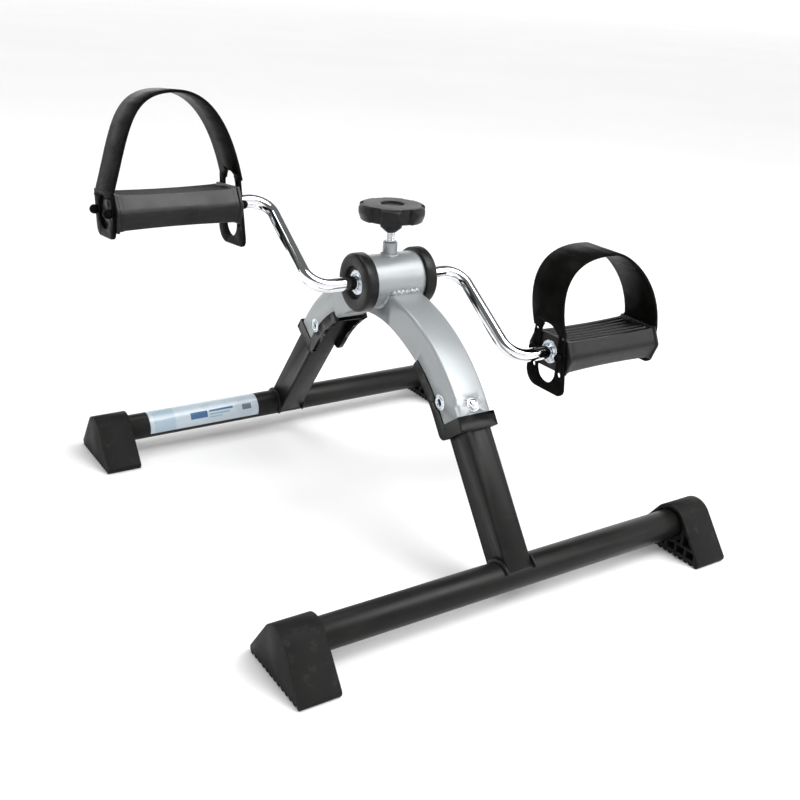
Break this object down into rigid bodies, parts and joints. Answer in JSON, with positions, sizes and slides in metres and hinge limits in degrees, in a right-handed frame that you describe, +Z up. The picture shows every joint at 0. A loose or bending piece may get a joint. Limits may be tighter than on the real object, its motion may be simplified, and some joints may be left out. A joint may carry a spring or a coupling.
{
  "type": "folding pedal exerciser",
  "caption": "Folding pedal exerciser: arched steel tube frame on folding legs, one-piece crank, strapped pedals and a lobed tension knob on the hub.",
  "frame": {"origin": "centre of the footprint, on the floor under the hub", "axes": "X along the crank axis, +X to the right when seen from the front; +Y to the back, across the two floor tubes; +Z up"},
  "size_m": [0.4516, 0.465, 0.362],
  "materials": {
    "silver_paint": "smooth silver-grey paint, satin gloss",
    "black_paint": "satin black powder coat, lightly scratched",
    "chrome": "bright polished plate",
    "zinc_steel": "bright zinc plate",
    "spring_steel": "plain rolled spring steel",
    "black_plastic": "moulded black plastic, satin",
    "pedal_plastic": "moulded black plastic, fine grain",
    "knob_plastic": "moulded dark grey-black plastic, satin",
    "strap_plastic": "flexible black plastic, glossy",
    "white_nylon": "natural white nylon",
    "black_rubber": "moulded black rubber, matt",
    "label_film": "thin printed film, pale blue-grey with plain stripes",
    "brake_felt": "pressed fibre pad"
  },
  "bodies": {
    "frame": {"arch_tube": "silver_paint", "hub_tube": "silver_paint", "hub_end_caps": "black_plastic", "hub_bushes": "white_nylon", "threaded_boss": "silver_paint", "hub_weld_beads": "silver_paint", "front_arch_liner": "black_plastic", "rear_arch_liner": "black_plastic", "front_pivot_rivet": "zinc_steel", "rear_pivot_rivet": "zinc_steel"},
    "front_leg": {"front_leg_tube": "black_paint", "front_leg_welds": "black_paint", "front_lock_spring": "spring_steel", "front_floor_tube": "black_paint", "front_left_foot": "black_rubber", "front_right_foot": "black_rubber"},
    "rear_leg": {"rear_leg_tube": "black_paint", "rear_leg_welds": "black_paint", "rear_lock_spring": "spring_steel", "rear_floor_tube": "black_paint", "rear_left_foot": "black_rubber", "rear_right_foot": "black_rubber", "rear_tube_label": "label_film"},
    "front_button": {"front_lock_button": "chrome"},
    "rear_button": {"rear_lock_button": "chrome"},
    "crankshaft": {"crank_rod": "chrome", "hub_star_nuts": "zinc_steel", "pedal_star_nuts": "zinc_steel"},
    "left_pedal": {"left_pedal_block": "pedal_plastic", "left_pedal_bushes": "white_nylon", "left_pedal_plug": "pedal_plastic", "left_toe_strap": "strap_plastic", "left_strap_studs": "strap_plastic"},
    "right_pedal": {"right_pedal_block": "pedal_plastic", "right_pedal_bushes": "white_nylon", "right_pedal_plug": "pedal_plastic", "right_toe_strap": "strap_plastic", "right_strap_studs": "strap_plastic"},
    "brake": {"brake_shoe": "brake_felt"},
    "knob": {"tension_screw": "chrome", "tension_knob": "knob_plastic"}
  },
  "joints": [
    {"name": "front_leg_fold", "type": "hinge", "parent": "frame", "child": "front_leg", "pos_m": [0, -0.10396, 0.14004], "axis": [1, 0, 0], "range_deg": [0, 60]},
    {"name": "rear_leg_fold", "type": "hinge", "parent": "frame", "child": "rear_leg", "pos_m": [0, 0.10396, 0.14004], "axis": [-1, 0, 0], "range_deg": [0, 60]},
    {"name": "front_lock_press", "type": "slide", "parent": "frame", "child": "front_button", "axis": [0, 0.8039, -0.5948], "range_m": [0, 0.003], "stiffness_N_per_m": 1500, "springref_m": -0.001},
    {"name": "rear_lock_press", "type": "slide", "parent": "frame", "child": "rear_button", "axis": [0, -0.8039, -0.5948], "range_m": [0, 0.003], "stiffness_N_per_m": 1500, "springref_m": -0.001},
    {"name": "crank_turn", "type": "hinge", "parent": "frame", "child": "crankshaft", "pos_m": [-0.004, 0, 0.21305], "axis": [1, 0, 0], "continuous": true},
    {"name": "left_pedal_turn", "type": "hinge", "parent": "crankshaft", "child": "left_pedal", "pos_m": [-0.1647, 0.08471, 0.26806], "axis": [1, 0, 0], "continuous": true},
    {"name": "right_pedal_turn", "type": "hinge", "parent": "crankshaft", "child": "right_pedal", "pos_m": [0.1647, -0.08471, 0.15804], "axis": [1, 0, 0], "continuous": true},
    {"name": "brake_lift", "type": "slide", "parent": "frame", "child": "brake", "axis": [0, 0, 1], "range_m": [0, 0.0038]},
    {"name": "knob_turn", "type": "hinge", "parent": "brake", "child": "knob", "pos_m": [-0.004, 0, 0.27105], "axis": [0, 0, 1], "range_deg": [0, 1080]}
  ],
  "couplings": [
    {"joint": "brake_lift", "follows": "knob_turn", "m_per_rad": 0.00019894}
  ]
}
